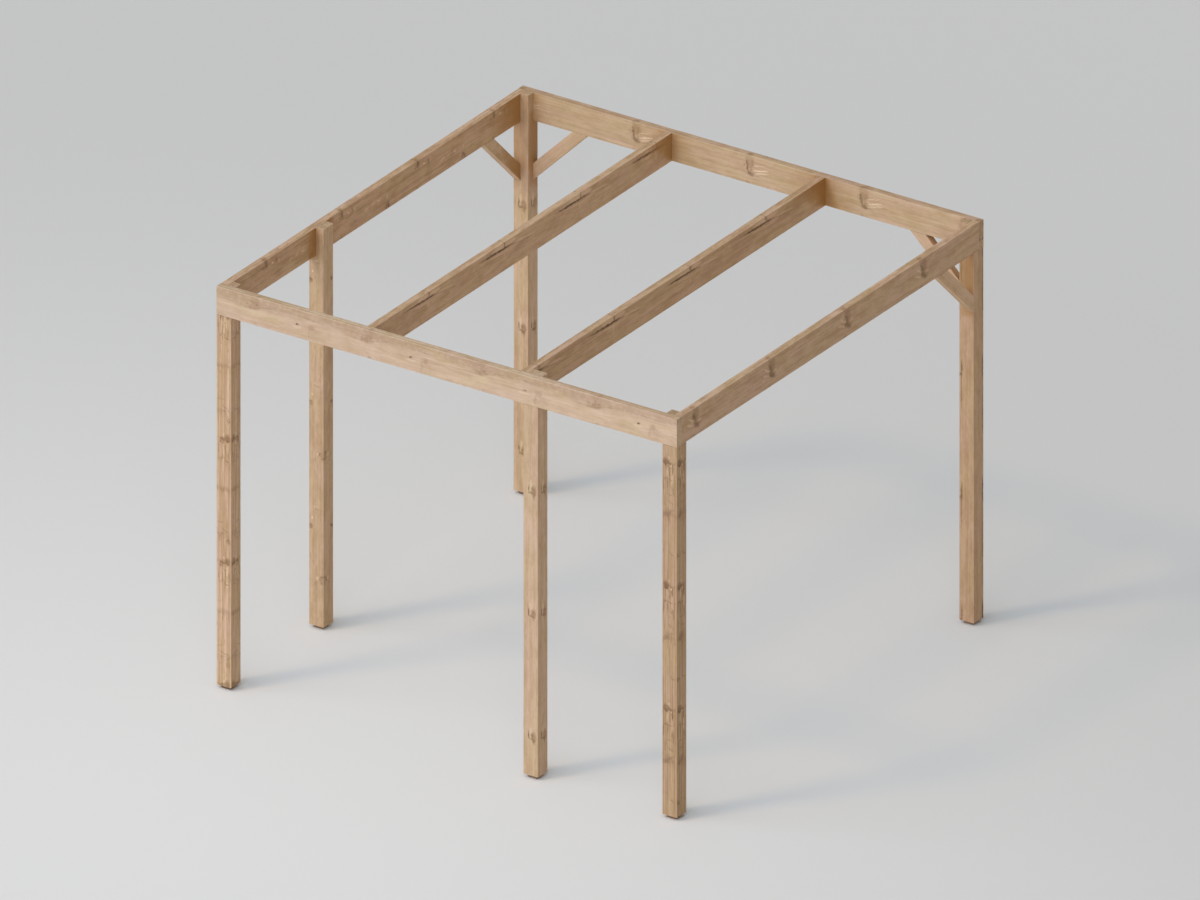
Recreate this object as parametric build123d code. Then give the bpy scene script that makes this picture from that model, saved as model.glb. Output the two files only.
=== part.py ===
from build123d import *
import math
import os

# A free-standing pergola: six square posts, four beams round the top, two rafters and four corner braces.
# All sizes are millimetres. The origin is on the ground under the middle of the plan.
# X runs to the right along the front, Y runs to the back and Z is up.

# Overall plan, measured over the outer faces of the posts and beams
FRAME_WIDTH = 3000
FRAME_DEPTH = 3000

# Posts
POST_SIZE = 95
POST_LENGTH = 2400
# Centre to centre, from the front right post to the front middle one and from the front left to the left middle
MIDDLE_POST_SPACING = 905

# Beams and rafters are the same planed section
BEAM_THICKNESS = 45
BEAM_DEPTH = 170
# From one rafter's right face to the next
RAFTER_SPACING = 1000

# Corner braces: the long outer edge, the width of the face, and the slope from level
BRACE_LENGTH = 500
BRACE_WIDTH = 70
BRACE_ANGLE = 45

# Rounding of the long edges of every planed timber
ARRIS_RADIUS = 3

# Pads under the posts
FOOT_SIZE = 60
FOOT_HEIGHT = 20
FOOT_CORNER_RADIUS = 6
FOOT_CHAMFER = 2

# How far a cutting tool stands out past the wood that it cuts
CUT_MARGIN = 10

# Levels and centre lines that the pieces share
TOP_LEVEL = FOOT_HEIGHT + POST_LENGTH
BEAM_UNDERSIDE = TOP_LEVEL - BEAM_DEPTH
BEAM_MIDDLE_LEVEL = TOP_LEVEL - BEAM_DEPTH / 2
POST_X = FRAME_WIDTH / 2 - POST_SIZE / 2
POST_Y = FRAME_DEPTH / 2 - POST_SIZE / 2
BEAM_X = FRAME_WIDTH / 2 - BEAM_THICKNESS / 2
BEAM_Y = FRAME_DEPTH / 2 - BEAM_THICKNESS / 2
BETWEEN_BEAMS = FRAME_DEPTH - 2 * BEAM_THICKNESS

POST_PLACES = {
    "front_left": (-POST_X, -POST_Y),
    "front_middle": (POST_X - MIDDLE_POST_SPACING, -POST_Y),
    "front_right": (POST_X, -POST_Y),
    "left_middle": (-POST_X, -POST_Y + MIDDLE_POST_SPACING),
    "back_left": (-POST_X, POST_Y),
    "back_right": (POST_X, POST_Y),
}

# Turns about Z that carry a piece made along +X to the direction in the name
ALONG_Y = Rot(0, 0, 90)
TOWARDS_FRONT = Rot(0, 0, -90)
TOWARDS_LEFT = Rot(0, 0, 180)


def planed_timber(length, thickness, depth):
    """A straight timber centred on the origin along X, thickness in Y and depth in Z, long edges rounded."""
    section = RectangleRounded(thickness, depth, ARRIS_RADIUS)
    return Pos(-length / 2, 0, 0) * extrude(Plane.YZ * section, length)


def beam_housing(length):
    """The notch that a beam along X needs in the post heads, open above and on the outer side (-Y)."""
    tool_thickness = BEAM_THICKNESS + CUT_MARGIN
    tool_depth = BEAM_DEPTH + CUT_MARGIN
    tool = Box(length + 2 * CUT_MARGIN, tool_thickness, tool_depth)
    return Pos(0, -CUT_MARGIN / 2, CUT_MARGIN / 2) * tool


def make_housings():
    """One notch tool for each of the four beams, in place round the top of the frame."""
    across = beam_housing(FRAME_WIDTH)
    along = beam_housing(FRAME_DEPTH)
    front = Pos(0, -BEAM_Y, BEAM_MIDDLE_LEVEL) * across
    back = Pos(0, BEAM_Y, BEAM_MIDDLE_LEVEL) * TOWARDS_LEFT * across
    left = Pos(-BEAM_X, 0, BEAM_MIDDLE_LEVEL) * TOWARDS_FRONT * along
    right = Pos(BEAM_X, 0, BEAM_MIDDLE_LEVEL) * ALONG_Y * along
    return [front, back, left, right]


def make_posts():
    """Square posts, notched at the head so that the beams sit flush with their outer faces."""
    section = RectangleRounded(POST_SIZE, POST_SIZE, ARRIS_RADIUS)
    blank = extrude(section, POST_LENGTH)
    housings = make_housings()
    posts = {}
    for place, (x, y) in POST_PLACES.items():
        post = Pos(x, y, FOOT_HEIGHT) * blank
        for housing in housings:
            post = post - housing
        posts["post_" + place] = post
    return posts


def make_feet():
    """A low pad centred under each post, set in from its faces."""
    pad = extrude(RectangleRounded(FOOT_SIZE, FOOT_SIZE, FOOT_CORNER_RADIUS), FOOT_HEIGHT)
    bottom_edges = pad.faces().sort_by(Axis.Z)[0].edges()
    pad = chamfer(bottom_edges, FOOT_CHAMFER)
    feet = {}
    for place, (x, y) in POST_PLACES.items():
        feet["foot_" + place] = Pos(x, y, 0) * pad
    return feet


def make_beams():
    """Front and back beams over the full width, with the side beams held between them."""
    across = planed_timber(FRAME_WIDTH, BEAM_THICKNESS, BEAM_DEPTH)
    between = ALONG_Y * planed_timber(BETWEEN_BEAMS, BEAM_THICKNESS, BEAM_DEPTH)
    return {
        "beam_front": Pos(0, -BEAM_Y, BEAM_MIDDLE_LEVEL) * across,
        "beam_back": Pos(0, BEAM_Y, BEAM_MIDDLE_LEVEL) * across,
        "beam_left": Pos(-BEAM_X, 0, BEAM_MIDDLE_LEVEL) * between,
        "beam_right": Pos(BEAM_X, 0, BEAM_MIDDLE_LEVEL) * between,
    }


def make_rafters():
    """Two rafters flush with the beams. The right one lies against the side of the front middle post."""
    middle_post_x = POST_PLACES["front_middle"][0]
    right_x = middle_post_x - POST_SIZE / 2 - BEAM_THICKNESS / 2
    rafter = ALONG_Y * planed_timber(BETWEEN_BEAMS, BEAM_THICKNESS, BEAM_DEPTH)
    return {
        "rafter_right": Pos(right_x, 0, BEAM_MIDDLE_LEVEL) * rafter,
        "rafter_left": Pos(right_x - RAFTER_SPACING, 0, BEAM_MIDDLE_LEVEL) * rafter,
    }


def corner_brace():
    """A brace running up along +X, for a post face at X = 0 and a beam underside at Z = 0."""
    slope = math.radians(BRACE_ANGLE)
    reach_along_beam = BRACE_LENGTH * math.cos(slope)
    reach_down_post = BRACE_LENGTH * math.sin(slope)
    stick = planed_timber(BRACE_LENGTH, BEAM_THICKNESS, BRACE_WIDTH)
    stick = Pos(BRACE_LENGTH / 2, 0, BRACE_WIDTH / 2) * stick
    stick = Pos(0, 0, -reach_down_post) * Rot(0, -BRACE_ANGLE, 0) * stick
    corner = Box(reach_along_beam, BEAM_THICKNESS, reach_down_post)
    corner = Pos(reach_along_beam / 2, 0, -reach_down_post / 2) * corner
    return stick & corner


def make_braces():
    """Braces at the two back corners, each in line with the beam above it."""
    brace = corner_brace()
    post_side_x = FRAME_WIDTH / 2 - POST_SIZE
    post_side_y = FRAME_DEPTH / 2 - POST_SIZE
    return {
        "brace_left_side": Pos(-BEAM_X, post_side_y, BEAM_UNDERSIDE) * TOWARDS_FRONT * brace,
        "brace_back_left": Pos(-post_side_x, BEAM_Y, BEAM_UNDERSIDE) * brace,
        "brace_back_right": Pos(post_side_x, BEAM_Y, BEAM_UNDERSIDE) * TOWARDS_LEFT * brace,
        "brace_right_side": Pos(BEAM_X, post_side_y, BEAM_UNDERSIDE) * TOWARDS_FRONT * brace,
    }


os.makedirs("parts", exist_ok=True)
pieces = {**make_posts(), **make_feet(), **make_beams(), **make_rafters(), **make_braces()}
for name, piece in pieces.items():
    export_step(piece, "parts/" + name + ".step")
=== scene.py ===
import math

import bpy
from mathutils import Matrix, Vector


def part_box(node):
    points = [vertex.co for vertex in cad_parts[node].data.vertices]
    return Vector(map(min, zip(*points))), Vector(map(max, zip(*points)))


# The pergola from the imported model, dressed as planed softwood on dark hardwood pads.
# Lengths are metres. X runs to the right along the front, Y to the back and Z up.

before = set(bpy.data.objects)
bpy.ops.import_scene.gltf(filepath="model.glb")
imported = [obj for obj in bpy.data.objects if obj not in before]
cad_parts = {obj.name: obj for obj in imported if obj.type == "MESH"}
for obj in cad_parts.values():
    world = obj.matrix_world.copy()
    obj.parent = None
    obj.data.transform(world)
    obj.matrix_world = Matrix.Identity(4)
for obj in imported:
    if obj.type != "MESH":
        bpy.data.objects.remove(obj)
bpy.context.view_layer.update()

# The picture. Angles are degrees
VIEW_AZIMUTH = 33.68
VIEW_ELEVATION = 25.87
VIEW_WIDTH = 6.508
VIEW_CENTRE = Vector((-0.0012, 0.0018, 1.2288))
CAMERA_DISTANCE = 20.0
CAMERA_REACH = 200.0

# Light: a warm key lamp high on the front left, a broad cool one overhead, a broad fill from the front, and
# pale surroundings. Spreads are degrees
KEY_DIRECTION = (-0.337, -0.489, 0.805)
KEY_STRENGTH = 0.347
KEY_SPREAD = 10.0
KEY_COLOUR = (1.395, 1.0, 0.605)
SKY_DIRECTION = (-0.15, -0.2, 0.968)
SKY_STRENGTH = 0.748
SKY_SPREAD = 120.0
SKY_COLOUR = (0.501, 1.0, 1.43)
FILL_DIRECTION = (-0.2, -0.86, 0.44)
FILL_STRENGTH = 1.878
FILL_SPREAD = 100.0
FILL_COLOUR = (0.963, 1.0, 1.133)
SURROUNDINGS_LIGHT = 0.282
SURROUNDINGS_COLOUR = (1.0, 0.695, 0.387, 1.0)
SURROUNDINGS_SEEN = 0.55
WHITE = (1.0, 1.0, 1.0, 1.0)

# Painted light: the floor is a little paler near its front left part, as a pool of light there
FLOOR_SIZE = 90.0
FLOOR_NEAR_COLOUR = (0.89, 0.89, 0.875, 1.0)
FLOOR_FAR_COLOUR = (0.693, 0.693, 0.683, 1.0)
FLOOR_BOUNCE_COLOUR = (0.71, 0.66, 0.60, 1.0)
FLOOR_LIGHT_POOL_CENTRE = (-1.2, -3.4, 0.0)
FLOOR_FADE = 9.3
FLOOR_ROUGHNESS = 0.95
FLOOR_SHINE = 0.1

# Timber sections, as in the CAD model
POST = 0.095
BEAM_THICKNESS = 0.045
BEAM_DEPTH = 0.17
BRACE_WIDTH = 0.07

# The whorls of knots, one for each year's growth of the tree, repeat at this distance
WHORL_SPACING = 0.742

# Width of a yearly ring, and how far the rings ripple
RING_WIDTH = 0.0045
PAD_RING_WIDTH = 0.003
RING_RIPPLE = 0.006

# A knot strays this far from its whorl along the grain
KNOT_STRAY = 0.006

# How deep a stroke goes into the wood, how far it drifts from its line along and across the grain, and how
# many bends its drift has for each metre
STROKE_DEPTH = 0.03
STROKE_DRIFT = (0.036, 0.014, 0.014)
STROKE_BENDS = 40.0

# Painted shade in inner corners: how far in front of the surface the corners are looked for, and the shade's
# least reach
PAINTED_SHADE_AHEAD = 0.03
PAINTED_SHADE_LEAST_REACH = 0.01

# The fibres' relief
RELIEF_STRENGTH = 0.6
RELIEF_DEPTH = 0.0012

# Streaks for each metre along, across and up the timber, on quiet wood and on the two restless front posts
QUIET_STREAKS = (1.7, 85.0, 85.0)
RESTLESS_STREAKS = (2.2, 160.0, 160.0)

# Steps between the seeds of the rows of knots and of the bands on one timber
KNOT_SEED_STEP = 3.0
BAND_SEED_STEP = 5.0
FIRST_PAD_SEED = 20.0

# Wood colours
PALE_WOOD = (0.69, 0.50, 0.33, 1.0)
WARM_WOOD = (0.52, 0.342, 0.195, 1.0)
LATE_WOOD = (0.39, 0.23, 0.115, 1.0)
KNOT_WOOD = (0.30, 0.165, 0.075, 1.0)
KNOT_RIM = (0.13, 0.065, 0.026, 1.0)
BARE_WOOD = (0.94, 0.73, 0.51, 1.0)
# The colour of the painted shade laid into inner corners
PAINTED_SHADE_COLOUR = (0.40, 0.195, 0.05, 1.0)
PAD_PALE = (0.27, 0.17, 0.10, 1.0)
PAD_WARM = (0.20, 0.12, 0.065, 1.0)
PAD_LATE = (0.12, 0.07, 0.04, 1.0)

# How much of each effect goes into the wood's colour, and the colour it brings, in the order they are laid on
GRAIN_STAINS = (("Late", 0.23), ("Flecks", 0.3))
MARK_STAINS = (("Bare", 1.2, "Bare Colour"), ("Halo", 0.3, "Late Colour"), ("Core", 0.4, "Knot Colour"),
               ("Brown", 1.5, "Knot Colour"), ("Rim", 0.75, "Rim Colour"), ("Dark", 1.1, "Rim Colour"))
CHECK_SHARE = 0.35
# How much of the painted corner shade goes into the wood's colour
PAINTED_SHADE_SHARE = 0.95


# Small steps that every node group is built from

def feed(tree, socket, value):
    """Joins a socket to another one, or sets it to a plain value."""
    if isinstance(value, bpy.types.NodeSocket):
        tree.links.new(value, socket)
    else:
        socket.default_value = value


def feed_all(tree, sockets, values):
    """Feeds sockets by their names. A space in a name is written as an underscore."""
    for label, value in values.items():
        feed(tree, sockets[label.replace("_", " ")], value)


def new_group(name, given, numbers, colours=()):
    """A shader node group. given holds its inputs' usual values, numbers and colours name its outputs."""
    tree = bpy.data.node_groups.new(name, "ShaderNodeTree")
    for label, usual in given.items():
        kind = "NodeSocketFloat"
        if isinstance(usual, tuple):
            kind = "NodeSocketVector" if len(usual) == 3 else "NodeSocketColor"
        socket = tree.interface.new_socket(label, in_out="INPUT", socket_type=kind)
        socket.default_value = usual
    for kind, labels in (("NodeSocketFloat", numbers), ("NodeSocketColor", colours)):
        for label in labels:
            tree.interface.new_socket(label, in_out="OUTPUT", socket_type=kind)
    start = tree.nodes.new("NodeGroupInput")
    end = tree.nodes.new("NodeGroupOutput")
    return tree, start.outputs, end.inputs


def use_group(tree, group, **values):
    """Places a node group, feeds its inputs and returns its outputs."""
    node = tree.nodes.new("ShaderNodeGroup")
    node.node_tree = group
    feed_all(tree, node.inputs, values)
    return node.outputs


def by_name(outputs):
    """A group's outputs under their own names, ready to feed the inputs of another group."""
    return {socket.name.replace(" ", "_"): socket for socket in outputs}


def sums(tree, operation, *values):
    """One step of arithmetic on numbers."""
    node = tree.nodes.new("ShaderNodeMath")
    node.operation = operation
    for socket, value in zip(node.inputs, values):
        feed(tree, socket, value)
    return node.outputs["Value"]


def product(tree, first, *others):
    """All the numbers multiplied together."""
    total = first
    for value in others:
        total = sums(tree, "MULTIPLY", total, value)
    return total


def off_middle(tree, value):
    """Noise is around a half. This is how far it is from that."""
    return sums(tree, "SUBTRACT", value, 0.5)


def vectors(tree, operation, *values):
    """One step of arithmetic on vectors."""
    node = tree.nodes.new("ShaderNodeVectorMath")
    node.operation = operation
    for socket, value in zip(node.inputs, values):
        feed(tree, socket, value)
    if operation in ("DOT_PRODUCT", "LENGTH"):
        return node.outputs["Value"]
    return node.outputs["Vector"]


def scaled(tree, vector, factor):
    node = tree.nodes.new("ShaderNodeVectorMath")
    node.operation = "SCALE"
    feed_all(tree, node.inputs, {"Vector": vector, "Scale": factor})
    return node.outputs["Vector"]


def stretched(tree, place, along, across):
    """The place in a pattern with so many features for each metre along and across the grain."""
    return vectors(tree, "MULTIPLY", place, (along, across, across))


def split(tree, vector):
    node = tree.nodes.new("ShaderNodeSeparateXYZ")
    feed(tree, node.inputs["Vector"], vector)
    return node.outputs["X"], node.outputs["Y"], node.outputs["Z"]


def joined(tree, x, y, z):
    node = tree.nodes.new("ShaderNodeCombineXYZ")
    for socket, value in zip(node.inputs, (x, y, z)):
        feed(tree, socket, value)
    return node.outputs["Vector"]


def fade(tree, value, start, end, low=0.0, high=1.0):
    """Goes softly from low to high as the value goes from start to end."""
    node = tree.nodes.new("ShaderNodeMapRange")
    node.interpolation_type = "SMOOTHSTEP"
    feed_all(tree, node.inputs, {"Value": value, "From Min": start, "From Max": end, "To Min": low,
                                 "To Max": high})
    return node.outputs["Result"]


def noise(tree, place, detail, roughness):
    """Soft noise with features about one unit of the place apart. Returns its single value and its colour."""
    node = tree.nodes.new("ShaderNodeTexNoise")
    feed_all(tree, node.inputs, {"Vector": place, "Scale": 1.0, "Detail": detail, "Roughness": roughness})
    return node.outputs["Fac"], node.outputs["Color"]


def cloud(tree, place, detail=2.0, roughness=0.5):
    """The single value of soft noise."""
    return noise(tree, place, detail, roughness)[0]


def chance(tree, number):
    """Three steady random numbers for a whole number."""
    node = tree.nodes.new("ShaderNodeTexWhiteNoise")
    node.noise_dimensions = "1D"
    feed(tree, node.inputs["W"], number)
    return split(tree, node.outputs["Color"])


def tinted(tree, amount, first, second):
    """The first colour, mixed with the second by the amount."""
    node = tree.nodes.new("ShaderNodeMix")
    node.data_type = "RGBA"
    feed_all(tree, node.inputs, {"Factor": amount, "A": first, "B": second})
    return node.outputs["Result"]


def moved_by_seed(tree, place, seed):
    """Another part of an endless pattern for each seed."""
    return vectors(tree, "MULTIPLY_ADD", seed, (7.31, 3.17, 5.73), place)


def repeat_along(tree, x, first):
    """Cuts the grain's length into a cell for each whorl. Returns the place in it and its number."""
    from_first = sums(tree, "SUBTRACT", x, first)
    turns = sums(tree, "DIVIDE", from_first, WHORL_SPACING)
    cell = sums(tree, "ROUND", turns)
    within = sums(tree, "SUBTRACT", turns, cell)
    return product(tree, within, WHORL_SPACING), cell


def added(tree, values, how="ADD"):
    """All the values together, or nothing where there are none."""
    total = 0.0
    for index, value in enumerate(values):
        total = value if index == 0 else sums(tree, how, total, value)
    return total


# Effects that the timbers share

def build_knot_row():
    """Knots where side branches left the trunk, in a row along the grain. Place is measured from the pith,
    with X along the grain, and Aim goes from the pith to where the branches come out."""
    given = {"Place": (0.0, 0.0, 0.0), "First": 0.0, "Aim": (0.0, 0.0, 1.0), "Radius": 0.012, "Stretch": 1.3,
             "Rise": 0.2, "Ragged": 0.5, "Bend": 1.0, "Ring": 1.0, "Strength": 1.0, "Seed": 0.0}
    numbers = ["Core", "Rim", "Halo", "Pull", "Shift Across", "Shift Up"]
    tree, ins, outs = new_group("knot_row", given, numbers)
    x, y, z = split(tree, ins["Place"])
    along, cell = repeat_along(tree, x, ins["First"])
    luck, other_luck = chance(tree, sums(tree, "ADD", cell, ins["Seed"]))[:2]
    along = sums(tree, "ADD", along, fade(tree, luck, 0.0, 1.0, -KNOT_STRAY, KNOT_STRAY))

    # Outward and sideways are measured across the grain, towards the branch and square to it
    flat = joined(tree, 0.0, y, z)
    unit = vectors(tree, "NORMALIZE", ins["Aim"])
    reach = vectors(tree, "LENGTH", ins["Aim"])
    outward = vectors(tree, "DOT_PRODUCT", flat, unit)
    unit_y, unit_z = split(tree, unit)[1:]
    backwards = product(tree, unit_z, -1.0)
    sideways = vectors(tree, "DOT_PRODUCT", flat, joined(tree, 0.0, backwards, unit_y))
    beyond = sums(tree, "SUBTRACT", outward, reach)
    along = sums(tree, "SUBTRACT", along, product(tree, beyond, ins["Rise"]))

    # The knot thins towards the pith, and its outline is ragged
    taper = fade(tree, sums(tree, "DIVIDE", outward, reach), 0.0, 1.2, 0.2, 1.1)
    radius = product(tree, ins["Radius"], taper, fade(tree, other_luck, 0.0, 1.0, 0.88, 1.08))
    seeded = moved_by_seed(tree, ins["Place"], sums(tree, "ADD", ins["Seed"], cell))
    ragged = product(tree, off_middle(tree, cloud(tree, stretched(tree, seeded, 120.0, 38.0))), ins["Ragged"])
    long_way = sums(tree, "DIVIDE", sums(tree, "DIVIDE", along, radius), ins["Stretch"])
    short_way = sums(tree, "DIVIDE", sideways, radius)
    across_knot = vectors(tree, "LENGTH", joined(tree, long_way, short_way, 0.0))
    from_heart = sums(tree, "ADD", across_knot, product(tree, ragged, 2.0))

    # Its brown core, broken dark rim and faint halo
    ahead = product(tree, fade(tree, outward, 0.0, 0.006), ins["Strength"])
    patchy = fade(tree, cloud(tree, scaled(tree, seeded, 42.0), 1.0), 0.4, 0.62, 0.05, 1.0)
    off_rim = sums(tree, "ABSOLUTE", sums(tree, "SUBTRACT", from_heart, 0.95))
    core = product(tree, fade(tree, from_heart, 1.1, 0.5), ahead)
    rim = product(tree, fade(tree, off_rim, 0.42, 0.05, 0.0, ins["Ring"]), ahead, patchy)
    halo = product(tree, fade(tree, from_heart, 2.6, 0.9), ahead)

    # The fibres part round it, and the rings bulge over it
    window = fade(tree, sums(tree, "ABSOLUTE", along), WHORL_SPACING * 0.4, WHORL_SPACING * 0.15)
    squared = sums(tree, "MAXIMUM", product(tree, across_knot, across_knot), 1.0)
    push = sums(tree, "DIVIDE", product(tree, ahead, window), squared)
    shift = product(tree, sideways, push, ins["Bend"], -0.9)
    pull = product(tree, fade(tree, across_knot, 3.2, 0.0), ahead, radius, ins["Bend"], 0.7)
    feed_all(tree, outs, {"Core": core, "Rim": rim, "Halo": halo, "Pull": pull,
                          "Shift Across": product(tree, shift, backwards),
                          "Shift Up": product(tree, shift, unit_y)})
    return tree


def build_stroke():
    """A soft stroke on two opposite faces of a timber: the edge of a knot, a shake or a pale flame. Along,
    Across and Facing are the stroke's own directions divided by its half length, half width and depth."""
    given = {"Place": (0.0, 0.0, 0.0), "Centre": (0.0, 0.0, 0.0), "Along": (10.0, 0.0, 0.0),
             "Across": (0.0, 0.0, 100.0), "Facing": (0.0, 20.0, 0.0), "Half Across": 0.5, "Strength": 1.0}
    tree, ins, outs = new_group("stroke", given, ["Mark"])
    off = vectors(tree, "SUBTRACT", ins["Place"], ins["Centre"])
    along = vectors(tree, "DOT_PRODUCT", off, ins["Along"])
    across = vectors(tree, "DOT_PRODUCT", off, ins["Across"])
    from_middle = sums(tree, "ABSOLUTE", vectors(tree, "DOT_PRODUCT", ins["Place"], ins["Facing"]))
    inside = sums(tree, "SUBTRACT", ins["Half Across"], from_middle)
    away = vectors(tree, "LENGTH", joined(tree, along, across, inside))
    feed(tree, outs["Mark"], fade(tree, away, 1.0, 0.4, 0.0, ins["Strength"]))
    return tree


def build_whorl_band():
    """A thin, broken, arching dark line round the timber where a whorl of small branches grew, with restless
    grain just under it."""
    given = {"Place": (0.0, 0.0, 0.0), "First": 0.0, "Thickness": 0.01, "Arch": 0.03, "Trail": 0.13,
             "Strength": 0.7, "Seed": 0.0}
    tree, ins, outs = new_group("whorl_band", given, ["Dark", "Restless"])
    x, y, z = split(tree, ins["Place"])
    along = repeat_along(tree, x, ins["First"])[0]
    seeded = moved_by_seed(tree, joined(tree, 0.0, y, z), ins["Seed"])
    wave = product(tree, off_middle(tree, cloud(tree, scaled(tree, seeded, 28.0))), ins["Arch"])
    off_line = sums(tree, "ABSOLUTE", sums(tree, "ADD", along, wave))
    beads = cloud(tree, scaled(tree, moved_by_seed(tree, ins["Place"], ins["Seed"]), 60.0))
    broken = fade(tree, beads, 0.4, 0.66, 0.05, ins["Strength"])
    dark = fade(tree, sums(tree, "DIVIDE", off_line, ins["Thickness"]), 1.3, 0.2)
    below = fade(tree, along, product(tree, ins["Trail"], -1.1), product(tree, ins["Trail"], -0.8))
    above = fade(tree, along, 0.01, -0.005)
    feed_all(tree, outs, {"Dark": product(tree, dark, broken), "Restless": product(tree, below, above)})
    return tree


def build_growth_rings():
    """The tree's yearly rings round its pith: pale spring wood, thin dark late wood, and slower light and
    dark bands. Place is measured from the pith."""
    given = {"Place": (0.0, 0.0, 0.0), "Shift Across": 0.0, "Shift Up": 0.0, "Pull": 0.0,
             "Ring Width": RING_WIDTH, "Wander": 0.02, "Seed": 0.0}
    tree, ins, outs = new_group("growth_rings", given, ["Late", "Bands"])
    seeded = moved_by_seed(tree, ins["Place"], ins["Seed"])
    x, y, z = split(tree, ins["Place"])
    y = sums(tree, "ADD", y, ins["Shift Across"])
    z = sums(tree, "ADD", z, ins["Shift Up"])
    for wander, along, across, detail in ((ins["Wander"], 1.3, 3.0, 1.0), (RING_RIPPLE, 7.0, 26.0, 2.0)):
        drift = noise(tree, stretched(tree, seeded, along, across), detail, 0.5)[1]
        drift_y, drift_z = split(tree, drift)[1:]
        y = sums(tree, "MULTIPLY_ADD", off_middle(tree, drift_y), wander, y)
        z = sums(tree, "MULTIPLY_ADD", off_middle(tree, drift_z), wander, z)
    radius = vectors(tree, "LENGTH", joined(tree, 0.0, y, z))
    radius = sums(tree, "SUBTRACT", radius, ins["Pull"])
    uneven = cloud(tree, joined(tree, product(tree, radius, 45.0), ins["Seed"], 0.0), 1.0)
    rings = sums(tree, "MULTIPLY_ADD", uneven, 3.0, sums(tree, "DIVIDE", radius, ins["Ring Width"]))
    share = sums(tree, "FRACT", rings)
    year_luck = chance(tree, sums(tree, "FLOOR", rings))[0]
    late = product(tree, fade(tree, share, 0.3, 0.9), fade(tree, share, 1.0, 0.94),
                   fade(tree, year_luck, 0.0, 1.0, 0.3, 1.0))
    swing = product(tree, sums(tree, "ARCTAN2", z, y), 0.9)
    band_place = joined(tree, product(tree, x, 0.7), product(tree, radius, 75.0), swing)
    bands = cloud(tree, moved_by_seed(tree, band_place, ins["Seed"]), 3.0, 0.6)
    feed_all(tree, outs, {"Late": late, "Bands": fade(tree, bands, 0.3, 0.7)})
    return tree


def build_wood_fibres():
    """Fibres along the grain: fine hairs, streaks about a centimetre wide, slow mottling and blush, and short
    flecks."""
    given = {"Place": (0.0, 0.0, 0.0), "Shift Across": 0.0, "Shift Up": 0.0, "Streak Scale": QUIET_STREAKS,
             "Seed": 0.0}
    tree, ins, outs = new_group("wood_fibres", given, ["Hairs", "Streaks", "Mottle", "Blush", "Flecks"])
    shift = joined(tree, 0.0, ins["Shift Across"], ins["Shift Up"])
    place = moved_by_seed(tree, vectors(tree, "ADD", ins["Place"], shift), ins["Seed"])
    streaks = cloud(tree, vectors(tree, "MULTIPLY", place, ins["Streak Scale"]), 3.0, 0.55)
    flecks = cloud(tree, stretched(tree, place, 26.0, 150.0), 1.0)
    feed_all(tree, outs, {"Hairs": cloud(tree, stretched(tree, place, 9.0, 520.0)),
                          "Streaks": fade(tree, streaks, 0.3, 0.7),
                          "Mottle": cloud(tree, stretched(tree, place, 9.0, 24.0), 4.0, 0.7),
                          "Blush": cloud(tree, stretched(tree, place, 4.0, 13.0)),
                          "Flecks": fade(tree, flecks, 0.58, 0.72)})
    return tree


def build_arris_wear():
    """Where the rounded long edges and sawn ends are rubbed. Place is measured from the section's middle,
    and the nearest edge is found from the timber's half sizes."""
    given = {"Place": (0.0, 0.0, 0.0), "Half Size": (1.0, 1.0, 1.0), "Width": 0.005, "Seed": 0.0}
    tree, ins, outs = new_group("arris_wear", given, ["Wear"])
    depth = vectors(tree, "SUBTRACT", ins["Half Size"], vectors(tree, "ABSOLUTE", ins["Place"]))
    from_end, from_side, from_top = split(tree, depth)
    nearer = sums(tree, "MINIMUM", from_side, from_top)
    farther = sums(tree, "MAXIMUM", from_side, from_top)
    to_edge = sums(tree, "MAXIMUM", nearer, sums(tree, "MINIMUM", farther, from_end))
    seeded = moved_by_seed(tree, ins["Place"], ins["Seed"])
    uneven = cloud(tree, stretched(tree, seeded, 14.0, 60.0), 3.0, 0.6)
    width = product(tree, ins["Width"], fade(tree, uneven, 0.3, 0.75, 0.45, 1.7))
    feed(tree, outs["Wear"], fade(tree, sums(tree, "DIVIDE", to_edge, width), 1.0, 0.35))
    return tree


def build_end_grain():
    """Sawn ends: End where the surface faces along the grain, and fine drying checks that run out from the
    pith."""
    given = {"Place": (0.0, 0.0, 0.0), "Normal": (0.0, 0.0, 1.0), "Grain": (1.0, 0.0, 0.0), "Seed": 0.0}
    tree, ins, outs = new_group("end_grain", given, ["End", "Checks"])
    facing = sums(tree, "ABSOLUTE", vectors(tree, "DOT_PRODUCT", ins["Normal"], ins["Grain"]))
    end = fade(tree, facing, 0.5, 0.8)
    y, z = split(tree, ins["Place"])[1:]
    radius = vectors(tree, "LENGTH", joined(tree, 0.0, y, z))
    angle = sums(tree, "ARCTAN2", z, y)
    pattern = cloud(tree, joined(tree, product(tree, angle, 9.0), product(tree, radius, 14.0), ins["Seed"]))
    checks = fade(tree, sums(tree, "ABSOLUTE", off_middle(tree, pattern)), 0.02, 0.0)
    feed_all(tree, outs, {"End": end, "Checks": product(tree, checks, end)})
    return tree


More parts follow.
